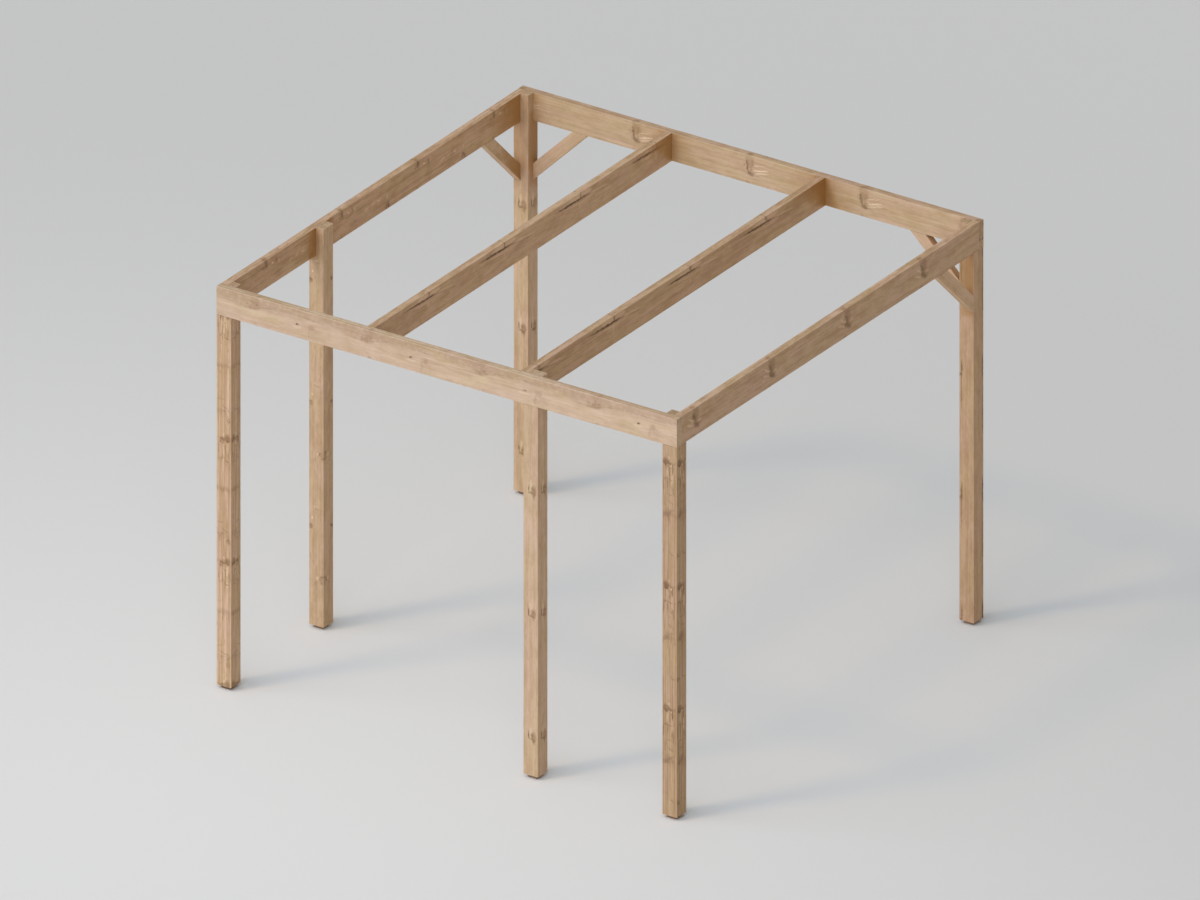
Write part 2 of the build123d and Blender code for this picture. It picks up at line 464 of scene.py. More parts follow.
def build_painted_corner_shade():
    """Painted shade: darker, warmer colour in the corner beside another timber, where shade falls. The
    neighbour's box runs from Low to High. The surface is read a little in front of itself, so that a timber
    that lies flush with it makes no corner. Lean is how much wider the painted shade gets for each metre up
    the neighbour."""
    given = {"Place": (0.0, 0.0, 0.0), "Normal": (0.0, 0.0, 1.0), "Low": (0.0, 0.0, 0.0),
             "High": (1.0, 1.0, 1.0), "Reach": 0.1, "Lean": 0.0, "Strength": 1.0}
    tree, ins, outs = new_group("nook", given, ["Near"])
    in_front = vectors(tree, "MULTIPLY_ADD", ins["Normal"], (PAINTED_SHADE_AHEAD, PAINTED_SHADE_AHEAD, PAINTED_SHADE_AHEAD),
                       ins["Place"])
    centre = scaled(tree, vectors(tree, "ADD", ins["Low"], ins["High"]), 0.5)
    half = scaled(tree, vectors(tree, "SUBTRACT", ins["High"], ins["Low"]), 0.5)
    away = vectors(tree, "ABSOLUTE", vectors(tree, "SUBTRACT", in_front, centre))
    gap = vectors(tree, "MAXIMUM", vectors(tree, "SUBTRACT", away, half), (0.0, 0.0, 0.0))
    facing = vectors(tree, "MULTIPLY_ADD", vectors(tree, "ABSOLUTE", ins["Normal"]), (11.0, 11.0, 11.0),
                     (1.0, 1.0, 1.0))
    distance = vectors(tree, "LENGTH", vectors(tree, "MULTIPLY", gap, facing))
    uneven = cloud(tree, scaled(tree, ins["Place"], 16.0))
    over_middle = split(tree, vectors(tree, "SUBTRACT", ins["Place"], centre))[2]
    reach = sums(tree, "MULTIPLY_ADD", over_middle, ins["Lean"], ins["Reach"])
    reach = product(tree, reach, fade(tree, uneven, 0.3, 0.7, 0.8, 1.2))
    reach = sums(tree, "MAXIMUM", reach, PAINTED_SHADE_LEAST_REACH)
    share = sums(tree, "DIVIDE", distance, reach)
    feed(tree, outs["Near"], fade(tree, share, 1.0, 0.1, 0.0, ins["Strength"]))
    return tree


def build_timber_finish():
    """Puts the wood's effects together into its colour, its roughness and the height of its surface. Lined
    makes the streaks stronger and the mottling weaker, and Top is where the surface faces up. The top tone is
    painted light and shade: it makes the faces that look up lighter or darker than the sides."""
    given = {"Pale": PALE_WOOD, "Warm": WARM_WOOD, "Late Colour": LATE_WOOD, "Knot Colour": KNOT_WOOD,
             "Rim Colour": KNOT_RIM, "Bare Colour": BARE_WOOD, "Late": 0.0, "Bands": 0.5, "Hairs": 0.5,
             "Streaks": 0.5, "Mottle": 0.5, "Core": 0.0, "Rim": 0.0, "Halo": 0.0, "Brown": 0.0, "Dark": 0.0,
             "Bare": 0.0, "Restless": 0.0, "Wear": 0.0, "Flecks": 0.0, "End": 0.0, "Checks": 0.0, "Nook": 0.0,
             "Blush": 0.5, "Contrast": 1.0, "Lined": 0.0, "Tone": (1.0, 1.0, 1.0), "Top": 0.0,
             "Top Tone": (1.0, 1.0, 1.0)}
    tree, ins, outs = new_group("timber_finish", given, ["Roughness", "Height"], ["Colour"])

    # The grain's own colour
    strength = sums(tree, "ADD", ins["Restless"], ins["Contrast"])
    strength = sums(tree, "MULTIPLY_ADD", ins["Top"], 0.75, strength)
    streak_share = sums(tree, "MULTIPLY_ADD", ins["Lined"], 0.8, 0.45)
    mottle_share = sums(tree, "MULTIPLY_ADD", ins["Lined"], -1.5, 2.4)
    band_part = product(tree, off_middle(tree, ins["Bands"]), 0.5)
    streak_part = product(tree, off_middle(tree, ins["Streaks"]), streak_share)
    mottle_part = product(tree, off_middle(tree, ins["Mottle"]), mottle_share)
    swing = sums(tree, "ADD", band_part, sums(tree, "ADD", streak_part, mottle_part))
    warmth = fade(tree, sums(tree, "MULTIPLY_ADD", swing, strength, 0.42), -0.15, 1.1)
    colour = tinted(tree, warmth, ins["Pale"], ins["Warm"])
    for effect, share in GRAIN_STAINS:
        colour = tinted(tree, product(tree, ins[effect], strength, share), colour, ins["Late Colour"])
    for effect, share, stain in MARK_STAINS:
        colour = tinted(tree, product(tree, ins[effect], share), colour, ins[stain])

    # Slow blush, fine hairs, darker ends, checks, worn arrises, the timber's tone, painted light and shade on
    # its upward faces, and painted shade in its inner corners
    blush = fade(tree, ins["Blush"], 0.3, 0.7, -1.0, 1.0)
    blush_red = sums(tree, "MULTIPLY_ADD", blush, 0.02, 1.0)
    blush_blue = sums(tree, "MULTIPLY_ADD", blush, 0.06, 1.0)
    hair_tone = fade(tree, ins["Hairs"], 0.2, 0.8, 0.93, 1.07)
    end_tone = sums(tree, "MULTIPLY_ADD", ins["End"], -0.06, 1.0)
    for factor in (joined(tree, blush_red, 1.0, blush_blue), hair_tone, end_tone):
        colour = vectors(tree, "MULTIPLY", colour, factor)
    colour = tinted(tree, product(tree, ins["Checks"], CHECK_SHARE), colour, ins["Rim Colour"])
    worn = product(tree, ins["Wear"], sums(tree, "MULTIPLY_ADD", ins["Lined"], 0.35, 0.3))
    colour = tinted(tree, worn, colour, ins["Pale"])
    # Painted light and shade: the faces that look up get their own tone, lighter or darker than the sides
    top = joined(tree, ins["Top"], ins["Top"], ins["Top"])
    top_change = vectors(tree, "SUBTRACT", ins["Top Tone"], (1.0, 1.0, 1.0))
    top_painted_light = vectors(tree, "MULTIPLY_ADD", top_change, top, (1.0, 1.0, 1.0))
    for factor in (ins["Tone"], top_painted_light):
        colour = vectors(tree, "MULTIPLY", colour, factor)
    # Painted shade: inner corners beside other timbers are darkened and warmed
    colour = tinted(tree, product(tree, ins["Nook"], PAINTED_SHADE_SHARE), colour, PAINTED_SHADE_COLOUR)

    roughness = fade(tree, ins["Hairs"], 0.2, 0.8, 0.5, 0.62)
    for effect, share in (("Core", -0.1), ("End", 0.22), ("Wear", -0.06)):
        roughness = sums(tree, "MULTIPLY_ADD", ins[effect], share, roughness)
    height = product(tree, ins["Hairs"], 0.25)
    for effect, share in (("Streaks", 0.1), ("Checks", -0.8)):
        height = sums(tree, "MULTIPLY_ADD", ins[effect], share, height)
    feed_all(tree, outs, {"Colour": colour, "Roughness": roughness, "Height": height})
    return tree


knot_row_group = build_knot_row()
stroke_group = build_stroke()
whorl_band_group = build_whorl_band()
growth_rings_group = build_growth_rings()
wood_fibres_group = build_wood_fibres()
arris_wear_group = build_arris_wear()
end_grain_group = build_end_grain()
painted_corner_shade_group = build_painted_corner_shade()
timber_finish_group = build_timber_finish()


# How each timber lies: the turn that carries its own X, along the grain, to the direction it runs

LYING_ACROSS = (0.0, 0.0, 0.0)
LYING_BACKWARDS = (0.0, 0.0, math.radians(90))
STANDING = (0.0, math.radians(-90), 0.0)
BRACE_SLOPE = math.radians(45)

# Each face that the picture shows: where its edge lies across the section, and the way that across is
# measured. On the posts it goes from the right edge as one faces them, or from the arris shared by both
FACE = POST / 2
SIDE = BEAM_THICKNESS / 2
TOP = BEAM_DEPTH / 2
POST_FRONT = Vector((0.0, -FACE, -FACE)), Vector((0.0, 0.0, 1.0))
POST_RIGHT = Vector((0.0, FACE, -FACE)), Vector((0.0, -1.0, 0.0))
POST_RIGHT_FROM_ARRIS = Vector((0.0, -FACE, -FACE)), Vector((0.0, 1.0, 0.0))
BEAM_SIDE = Vector((0.0, -SIDE, TOP)), Vector((0.0, 0.0, -1.0))
BEAM_TOP = Vector((0.0, -SIDE, TOP)), Vector((0.0, 1.0, 0.0))
GRAIN = Vector((1.0, 0.0, 0.0))


def knot(first, side, up, radius, **shape):
    """A row of knots. first is along the grain, side and up are where they come out, from the section's
    middle, and shape feeds other inputs of knot_row."""
    return {"side": side, "up": up, "shape": {"First": first, "Radius": radius, **shape}}


def stroke(along, across, length, width, slope=0.0, strength=1.0, kind="Dark"):
    """Half a stroke's length and width, and where it lies beside its whorl. A slope in degrees leads away
    from the face's edge."""
    return {"along": along, "across": across, "length": length, "width": width, "slope": math.radians(slope),
            "strength": strength, "kind": kind}


def brown(along, across, length, width, slope=0.0, strength=1.0):
    return stroke(along, across, length, width, slope, strength, "Brown")


def pale(along, across, length, width, slope=0.0, strength=1.0):
    return stroke(along, across, length, width, slope, strength, "Bare")


def whorl(first, face, strokes):
    """The strokes that come again at each whorl. first is the lowest or leftmost whorl on the timber."""
    return {"first": first, "face": face, "strokes": strokes}


def band(first, **shape):
    """A dark line at each whorl. shape feeds other inputs of whorl_band."""
    return {"First": first, **shape}


def nook(neighbour, reach, strength, lean=0.0):
    """Painted shade in the corner beside another timber."""
    return {"neighbour": neighbour, "shape": {"Reach": reach, "Strength": strength, "Lean": lean}}


def draw_strokes(tree, place, seed, whorls):
    """The timber's dark, brown and bare strokes, whose lines drift, and the patches that make them uneven."""
    marks = {"Dark": [], "Brown": [], "Bare": []}
    uneven_place = scaled(tree, moved_by_seed(tree, place, (seed, seed, seed)), STROKE_BENDS)
    patches, drift = noise(tree, uneven_place, 2.0, 0.65)
    drift = vectors(tree, "SUBTRACT", drift, (0.5, 0.5, 0.5))
    x, y, z = split(tree, vectors(tree, "MULTIPLY_ADD", drift, STROKE_DRIFT, place))
    for row in whorls:
        beside_whorl = joined(tree, repeat_along(tree, x, row["first"])[0], y, z)
        edge, across_way = row["face"]
        facing = GRAIN.cross(across_way)
        half_across = abs(edge.dot(facing))
        for line in row["strokes"]:
            along_way = GRAIN * math.cos(line["slope"]) + across_way * math.sin(line["slope"])
            sideways = across_way * math.cos(line["slope"]) - GRAIN * math.sin(line["slope"])
            middle = GRAIN * line["along"] + edge + across_way * line["across"]
            mark = use_group(tree, stroke_group, Place=beside_whorl, Centre=middle,
                             Along=along_way / line["length"], Across=sideways / line["width"],
                             Facing=facing / STROKE_DEPTH, Half_Across=half_across / STROKE_DEPTH,
                             Strength=line["strength"])["Mark"]
            marks[line["kind"]].append(mark)
    return marks, fade(tree, patches, 0.34, 0.6, 0.65, 1.1)


def timber_material(name, seed, centre, turn, grain, half_size, pith, knots=(), whorls=(), bands=(),
                    beside=(), ring_width=RING_WIDTH, streak_scale=QUIET_STREAKS, **looks):
    """Planed wood for one timber. centre, turn and grain say how it lies, and pith is the tree's centre line,
    measured across and up from the middle of the section. beside lists the neighbours whose corners get
    painted shade, and looks feeds other inputs of timber_finish."""
    material = bpy.data.materials.new(name)
    material.use_nodes = True
    tree = material.node_tree
    shader = tree.nodes["Principled BSDF"]
    where = tree.nodes.new("ShaderNodeTexCoord")
    normal = where.outputs["Normal"]
    lay = tree.nodes.new("ShaderNodeMapping")
    lay.vector_type = "TEXTURE"
    feed_all(tree, lay.inputs, {"Vector": where.outputs["Object"], "Location": centre, "Rotation": turn})
    place = lay.outputs["Vector"]
    from_pith = vectors(tree, "SUBTRACT", place, (0.0, pith[0], pith[1]))

    rows = []
    for index, row in enumerate(knots):
        aim = (0.0, row["side"] - pith[0], row["up"] - pith[1])
        rows.append(use_group(tree, knot_row_group, Place=from_pith, Aim=aim,
                              Seed=seed + KNOT_SEED_STEP * index, **row["shape"]))
    knot_stains = {}
    for label in ("Core", "Rim", "Halo"):
        knot_stains[label] = added(tree, [row[label] for row in rows], "MAXIMUM")
    pull = added(tree, [row["Pull"] for row in rows])
    shift = {"Shift_Across": added(tree, [row["Shift Across"] for row in rows]),
             "Shift_Up": added(tree, [row["Shift Up"] for row in rows])}

    marks, patches = draw_strokes(tree, place, seed, whorls)
    restless = []
    for index, row in enumerate(bands):
        line = use_group(tree, whorl_band_group, Place=place, Seed=seed + BAND_SEED_STEP * index, **row)
        marks["Dark"].append(line["Dark"])
        restless.append(line["Restless"])
    # Painted shade in the corners beside each listed neighbour
    painted_shades = []
    for row in beside:
        low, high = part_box(row["neighbour"])
        painted_shades.append(use_group(tree, painted_corner_shade_group, Place=where.outputs["Object"], Normal=normal, Low=low,
                                 High=high, **row["shape"])["Near"])

    rings = use_group(tree, growth_rings_group, Place=from_pith, Pull=pull, Ring_Width=ring_width, Seed=seed,
                      **shift)
    fibres = use_group(tree, wood_fibres_group, Place=place, Streak_Scale=streak_scale, Seed=seed, **shift)
    wear = use_group(tree, arris_wear_group, Place=place, Half_Size=half_size, Seed=seed)
    ends = use_group(tree, end_grain_group, Place=from_pith, Normal=normal, Grain=grain, Seed=seed)
    finish = use_group(tree, timber_finish_group,
                       Brown=product(tree, patches, added(tree, marks["Brown"], "MAXIMUM")),
                       Dark=product(tree, patches, added(tree, marks["Dark"], "MAXIMUM")),
                       Bare=added(tree, marks["Bare"], "MAXIMUM"),
                       Restless=added(tree, restless, "MAXIMUM"), Nook=added(tree, painted_shades),
                       Top=fade(tree, split(tree, normal)[2], 0.4, 0.8),
                       **by_name(rings), **by_name(fibres), **by_name(wear), **by_name(ends), **knot_stains,
                       **looks)
    relief = tree.nodes.new("ShaderNodeBump")
    feed_all(tree, relief.inputs, {"Strength": RELIEF_STRENGTH, "Distance": RELIEF_DEPTH,
                                   "Height": finish["Height"]})
    feed_all(tree, shader.inputs, {"Base Color": finish["Colour"], "Roughness": finish["Roughness"],
                                   "Normal": relief.outputs["Normal"]})
    return material


def dress(node, material):
    """Gives a CAD node its material."""
    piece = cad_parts[node]
    piece.data.materials.clear()
    piece.data.materials.append(material)


def middle_of(node):
    """The middle of a CAD node's box, and its half sizes."""
    low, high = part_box(node)
    return (low + high) / 2, (high - low) / 2


# Posts and beams are measured from one end, so the wear on their ends is found from their whole length

def dress_post(place, seed, pith, **looks):
    """A post's own X goes up, its Y to the back and its Z to the left."""
    node = "post_" + place
    centre, half = middle_of(node)
    foot = (centre.x, centre.y, centre.z - half.z)
    half_size = (2 * half.z, POST / 2, POST / 2)
    dress(node, timber_material(node, seed, foot, STANDING, (0.0, 0.0, 1.0), half_size, pith, **looks))


def dress_beam(node, seed, pith, **looks):
    """A beam's own X goes to the right or to the back, from its left or front end, and its Z goes up."""
    centre, half = middle_of(node)
    start = (centre.x, centre.y - half.y, centre.z)
    turn = LYING_BACKWARDS
    grain = (0.0, 1.0, 0.0)
    if half.x > half.y:
        start = (centre.x - half.x, centre.y, centre.z)
        turn = LYING_ACROSS
        grain = (1.0, 0.0, 0.0)
    half_size = (2 * max(half.x, half.y), BEAM_THICKNESS / 2, BEAM_DEPTH / 2)
    dress(node, timber_material(node, seed, start, turn, grain, half_size, pith, **looks))


def dress_brace(node, seed, turn, grain, pith, **looks):
    """A brace is measured from its middle. Its mitred ends aren't worn, so it counts as longer than it is."""
    beyond_ends = 1.0
    half_size = (beyond_ends, BEAM_THICKNESS / 2, BRACE_WIDTH / 2)
    dress(node, timber_material(node, seed, middle_of(node)[0], turn, grain, half_size, pith, **looks))


# A hooked knot: an upright edge, a foot along the grain, a brown heart and a pale flame beside it
HOOKED_KNOT = [
    stroke(-0.003, 0.041, 0.03, 0.0065, slope=80, strength=0.5),
    stroke(0.022, 0.06, 0.034, 0.006, strength=0.6),
    brown(0.012, 0.029, 0.045, 0.024, strength=0.42),
    stroke(0.026, 0.034, 0.016, 0.006, slope=75, strength=0.25),
    stroke(-0.022, 0.026, 0.026, 0.007, slope=10, strength=0.22),
    pale(0.05, 0.047, 0.036, 0.012, strength=0.25),
    pale(0.016, 0.049, 0.009, 0.007, strength=0.25),
]
# A round knot with a neck that bends back along the grain, and a lattice of dashes beneath it
BLOB_KNOT = [
    brown(0.001, 0.069, 0.032, 0.027, strength=0.5),
    stroke(-0.013, 0.071, 0.02, 0.009, slope=75, strength=0.45),
    stroke(0.008, 0.079, 0.016, 0.008, strength=0.3),
    stroke(-0.003, 0.045, 0.022, 0.01, slope=80, strength=0.5),
    stroke(-0.033, 0.027, 0.046, 0.006, strength=0.5),
    stroke(-0.055, 0.046, 0.05, 0.005, strength=0.3),
    stroke(-0.1, 0.042, 0.02, 0.006, slope=80, strength=0.35),
    stroke(-0.094, 0.074, 0.014, 0.006, slope=95, strength=0.35),
    stroke(-0.13, 0.086, 0.06, 0.005, strength=0.4),
    stroke(-0.3, 0.05, 0.055, 0.011, slope=122, strength=0.25),
    stroke(-0.322, 0.07, 0.03, 0.009, slope=115, strength=0.25),
    brown(-0.305, 0.06, 0.045, 0.035, strength=0.22),
    stroke(-0.15, 0.03, 0.03, 0.0045, strength=0.3),
    stroke(-0.03, 0.03, 0.02, 0.005, slope=82, strength=0.35),
    pale(0.032, 0.05, 0.014, 0.008, strength=0.35),
    pale(-0.02, 0.037, 0.014, 0.008, strength=0.35),
    pale(-0.06, 0.06, 0.05, 0.01, strength=0.35),
    pale(-0.1, 0.03, 0.06, 0.01, strength=0.3),
    stroke(-0.12, 0.06, 0.07, 0.005, strength=0.35),
    stroke(-0.17, 0.02, 0.05, 0.005, strength=0.35),
    stroke(-0.235, 0.078, 0.06, 0.005, strength=0.3),
    stroke(-0.19, 0.05, 0.03, 0.006, slope=85, strength=0.28),
    stroke(-0.24, 0.04, 0.03, 0.006, slope=75, strength=0.25),
    stroke(0.19, 0.03, 0.03, 0.006, slope=60, strength=0.25),
]
# Two knots side by side, the second one hooked
TWIN_KNOT = [
    brown(0.001, 0.023, 0.034, 0.023, strength=0.45),
    stroke(-0.012, 0.02, 0.02, 0.009, slope=80, strength=0.42),
    stroke(0.006, 0.028, 0.014, 0.007, slope=30, strength=0.3),
    stroke(-0.008, 0.044, 0.016, 0.009, slope=100, strength=0.4),
    stroke(-0.005, 0.061, 0.018, 0.009, slope=85, strength=0.5),
    brown(-0.016, 0.06, 0.026, 0.018, strength=0.3),
    stroke(-0.306, 0.03, 0.03, 0.009, slope=80, strength=0.16),
    stroke(-0.312, 0.07, 0.03, 0.008, slope=100, strength=0.13),
    stroke(-0.118, 0.06, 0.024, 0.006, slope=85, strength=0.3),
    stroke(-0.05, 0.04, 0.02, 0.006, slope=82, strength=0.28),
    stroke(0.165, 0.05, 0.03, 0.007, slope=95, strength=0.28),
    stroke(-0.022, 0.07, 0.028, 0.005, strength=0.45),
    stroke(-0.024, 0.051, 0.02, 0.0045, slope=-8, strength=0.35),
    stroke(-0.08, 0.036, 0.06, 0.0045, slope=4, strength=0.28),
    stroke(-0.137, 0.028, 0.02, 0.006, slope=80, strength=0.4),
    stroke(-0.1, 0.018, 0.03, 0.0045, strength=0.3),
    pale(0.02, 0.048, 0.014, 0.008, strength=0.25),
    brown(-0.306, 0.045, 0.025, 0.06, strength=0.12),
    pale(-0.07, 0.046, 0.055, 0.01, strength=0.16),
    pale(-0.06, 0.026, 0.05, 0.009, strength=0.16),
    pale(-0.1, 0.066, 0.05, 0.008, strength=0.14),
    stroke(-0.1, 0.056, 0.06, 0.0045, strength=0.35),
    stroke(-0.07, 0.08, 0.05, 0.0045, strength=0.3),
    stroke(-0.13, 0.07, 0.02, 0.006, slope=95, strength=0.3),
    stroke(0.185, 0.04, 0.04, 0.006, slope=70, strength=0.3),
    stroke(0.23, 0.07, 0.03, 0.006, slope=100, strength=0.25),
]
# A knot cut open at the arris, with a pale patch beside it
ARRIS_KNOT = [
    pale(0.004, 0.04, 0.018, 0.012, strength=0.5),
    stroke(-0.03, 0.053, 0.018, 0.0045, strength=0.4),
]
OUTER_KNOT = [
    brown(0.0, 0.084, 0.024, 0.019, strength=0.4),
    stroke(0.009, 0.084, 0.016, 0.006, slope=75, strength=0.4),
    pale(0.056, 0.072, 0.011, 0.007, strength=0.6),
    stroke(0.108, 0.036, 0.024, 0.006, slope=88, strength=0.25),
    pale(0.125, 0.05, 0.02, 0.006, slope=80, strength=0.3),
]
BACK_EDGE_KNOT = [stroke(0.0, 0.017, 0.016, 0.013, slope=60, strength=0.6)]

# beside lists the neighbouring timbers whose corners get painted shade
dress_post("front_left", 1.0, (0.012, -0.008), Contrast=1.25, Tone=(1.05, 1.055, 1.075), Lined=1.0,
           streak_scale=RESTLESS_STREAKS,
           bands=[band(0.757, Trail=0.17, Strength=0.25),
                  band(0.92, Thickness=0.02, Arch=0.09, Trail=0.05, Strength=0.14),
                  band(0.45, Thickness=0.02, Arch=0.09, Trail=0.05, Strength=0.07)],
           knots=[knot(0.872, -FACE, -0.03, 0.009, Strength=0.7)],
           whorls=[whorl(0.014, POST_FRONT, TWIN_KNOT), whorl(0.014, POST_RIGHT_FROM_ARRIS, TWIN_KNOT)])
dress_post("front_right", 2.0, (0.01, 0.006), Contrast=1.25, Tone=(0.83, 0.81, 0.765), Lined=1.0,
           streak_scale=RESTLESS_STREAKS,
           bands=[band(0.645, Trail=0.16, Strength=0.25),
                  band(0.336, Thickness=0.015, Arch=0.09, Trail=0.05, Strength=0.2)],
           knots=[knot(0.09, -0.03, -FACE, 0.008, Strength=0.7)],
           whorls=[whorl(0.645, POST_FRONT, BLOB_KNOT), whorl(0.645, POST_RIGHT, BLOB_KNOT)])
dress_post("left_middle", 3.0, (0.03, 0.03), Contrast=0.9, Tone=(0.98, 0.99, 0.965),
           beside=[nook("beam_left", 0.045, 0.45)],
           knots=[knot(0.286, -FACE, -FACE, 0.022, Stretch=1.0, Rise=0.0, Ragged=0.3, Bend=0.5,
                       Strength=0.75)],
           whorls=[whorl(0.286, POST_FRONT, ARRIS_KNOT), whorl(0.286, POST_RIGHT_FROM_ARRIS, ARRIS_KNOT),
                   whorl(0.592, POST_FRONT, OUTER_KNOT), whorl(0.594, POST_RIGHT, BACK_EDGE_KNOT)])
dress_post("front_middle", 4.0, (0.0, 0.0), Contrast=0.75, Tone=(0.99, 1.02, 1.045),
           whorls=[whorl(0.221, POST_FRONT, HOOKED_KNOT), whorl(0.221, POST_RIGHT, HOOKED_KNOT)])
dress_post("back_left", 5.0, (0.0, 0.0), Contrast=0.75, Tone=(0.99, 1.0, 0.995),
           beside=[nook("beam_left", 0.5, 0.25), nook("beam_back", 0.45, 0.2),
                   nook("brace_left_side", 0.04, 0.2), nook("brace_back_left", 0.09, 0.7)],
           whorls=[whorl(0.235, POST_FRONT, HOOKED_KNOT), whorl(0.235, POST_RIGHT, HOOKED_KNOT)])
dress_post("back_right", 6.0, (0.03, 0.03), Contrast=0.85, Tone=(0.86, 0.82, 0.775),
           beside=[nook("brace_right_side", 0.06, 0.6)],
           knots=[knot(0.0, -FACE, FACE - 0.004, 0.007)],
           whorls=[whorl(0.0, POST_FRONT, [stroke(0.03, 0.079, 0.075, 0.0075, strength=0.6),
                                           stroke(-0.09, 0.081, 0.15, 0.006, strength=0.45)]),
                   whorl(0.0, POST_RIGHT, [stroke(0.03, 0.01, 0.11, 0.008, strength=0.7),
                                           stroke(-0.25, 0.008, 0.3, 0.007, strength=0.45)])])

# A brushed knot under the top edge of a beam, with the grain sweeping up past it
BRUSHED_KNOT = [
    brown(0.0, 0.0, 0.7, 0.08, strength=0.25),
    brown(0.002, 0.015, 0.06, 0.06, strength=0.3),
    brown(0.012, 0.03, 0.03, 0.04, slope=75, strength=0.22),
    brown(-0.012, 0.06, 0.075, 0.024, slope=-5, strength=0.34),
    brown(-0.08, 0.045, 0.17, 0.04, slope=2, strength=0.16),
    stroke(0.012, 0.044, 0.009, 0.007, strength=0.4),
    stroke(-0.05, 0.05, 0.01, 0.007, strength=0.3),
    stroke(0.075, 0.048, 0.085, 0.007, slope=-12, strength=0.14),
    stroke(-0.075, 0.072, 0.085, 0.007, strength=0.16),
    pale(0.0, 0.1, 0.09, 0.022, strength=0.1),
]
PIN_KNOT = [
    stroke(0.0, 0.088, 0.012, 0.0065, slope=-14, strength=0.85),
    pale(-0.004, 0.106, 0.05, 0.009, strength=0.2),
]
# A faint patch with a sharp left edge
PALE_STEP = [
    brown(0.02, 0.088, 0.03, 0.026, strength=0.22),
    stroke(0.0, 0.125, 0.045, 0.005, slope=97, strength=0.16),
    brown(0.03, 0.13, 0.06, 0.05, strength=0.1),
    stroke(0.0, 0.038, 0.14, 0.006, slope=3, strength=0.18),
]
FORKED_KNOT = [
    stroke(-0.003, 0.055, 0.044, 0.014, slope=57, strength=0.5),
    stroke(0.014, 0.101, 0.044, 0.017, slope=38, strength=0.5),
    brown(0.012, 0.04, 0.042, 0.055, strength=0.35),
    brown(0.02, 0.1, 0.05, 0.03, slope=35, strength=0.25),
    pale(-0.034, 0.062, 0.045, 0.008, slope=34, strength=0.4),
    pale(-0.045, 0.09, 0.045, 0.009, slope=25, strength=0.35),
    pale(0.04, 0.088, 0.036, 0.008, slope=-12, strength=0.4),
]
RAFTER_TICK = [
    stroke(0.0, 0.014, 0.03, 0.01, slope=88, strength=0.5),
    stroke(0.022, 0.036, 0.05, 0.0085, strength=0.65),
    stroke(-0.08, 0.033, 0.2, 0.0085, slope=1.5, strength=1.0),
    stroke(0.075, 0.041, 0.045, 0.005, slope=6, strength=0.25),
    pale(-0.055, 0.016, 0.09, 0.018, strength=0.45),
    pale(0.06, 0.017, 0.07, 0.017, strength=0.42),
    pale(-0.05, 0.055, 0.13, 0.009, slope=4, strength=0.3),
    pale(0.06, 0.058, 0.1, 0.01, slope=-3, strength=0.25),
    pale(0.17, 0.044, 0.13, 0.009, slope=5, strength=0.3),
    stroke(0.19, 0.056, 0.11, 0.006, slope=7, strength=0.2),
    pale(-0.005, 0.08, 0.026, 0.011, slope=90, strength=0.22),
]
EDGE_STROKE = [
    stroke(0.0, 0.023, 0.038, 0.015, slope=76, strength=0.5),
    brown(-0.01, 0.03, 0.03, 0.03, strength=0.2),
    stroke(-0.03, 0.04, 0.011, 0.01, strength=0.35),
    pale(0.06, 0.04, 0.015, 0.01, slope=30, strength=0.7),
    stroke(0.1, 0.042, 0.028, 0.011, slope=80, strength=0.35),
    pale(0.125, 0.05, 0.02, 0.008, slope=80, strength=0.25),
    brown(0.105, 0.118, 0.05, 0.035, strength=0.16),
    pale(0.24, 0.09, 0.03, 0.008, slope=-12, strength=0.4),
    pale(0.3, 0.085, 0.026, 0.007, slope=-12, strength=0.4),
    pale(0.37, 0.078, 0.022, 0.006, slope=-10, strength=0.35),
]
GABLE_KNOT = [
    stroke(-0.009, 0.146, 0.034, 0.009, slope=112, strength=0.5),
    stroke(0.011, 0.146, 0.034, 0.009, slope=66, strength=0.6),
    brown(0.0, 0.156, 0.034, 0.026, strength=0.3),
    pale(0.0, 0.092, 0.02, 0.008, slope=88, strength=0.4),
    pale(-0.085, 0.086, 0.02, 0.007, slope=20, strength=0.45),
]
CURLED_KNOT = [
    brown(0.004, 0.036, 0.04, 0.055, strength=0.25),
    brown(0.0, 0.09, 0.032, 0.045, strength=0.2),
    stroke(-0.014, 0.07, 0.06, 0.01, slope=82, strength=0.5),
    stroke(0.006, 0.11, 0.034, 0.016, slope=15, strength=0.5),
    stroke(0.045, 0.113, 0.032, 0.007, strength=0.22),
    stroke(0.016, 0.05, 0.03, 0.006, slope=98, strength=0.2),
    pale(0.0, 0.084, 0.014, 0.008, slope=88, strength=0.5),
    pale(0.07, 0.078, 0.065, 0.007, slope=-14, strength=0.6),
    pale(0.075, 0.092, 0.065, 0.006, slope=-13, strength=0.45),
    pale(0.06, 0.052, 0.06, 0.006, slope=-14, strength=0.35),
    stroke(-0.036, 0.06, 0.02, 0.0045, slope=80, strength=0.25),
]
TOP_SMUDGE = [
    brown(0.0, 0.014, 0.03, 0.02, slope=40, strength=0.4),
    brown(0.12, 0.03, 0.06, 0.02, slope=-10, strength=0.15),
    brown(-0.2, 0.01, 0.08, 0.016, slope=10, strength=0.12),
]
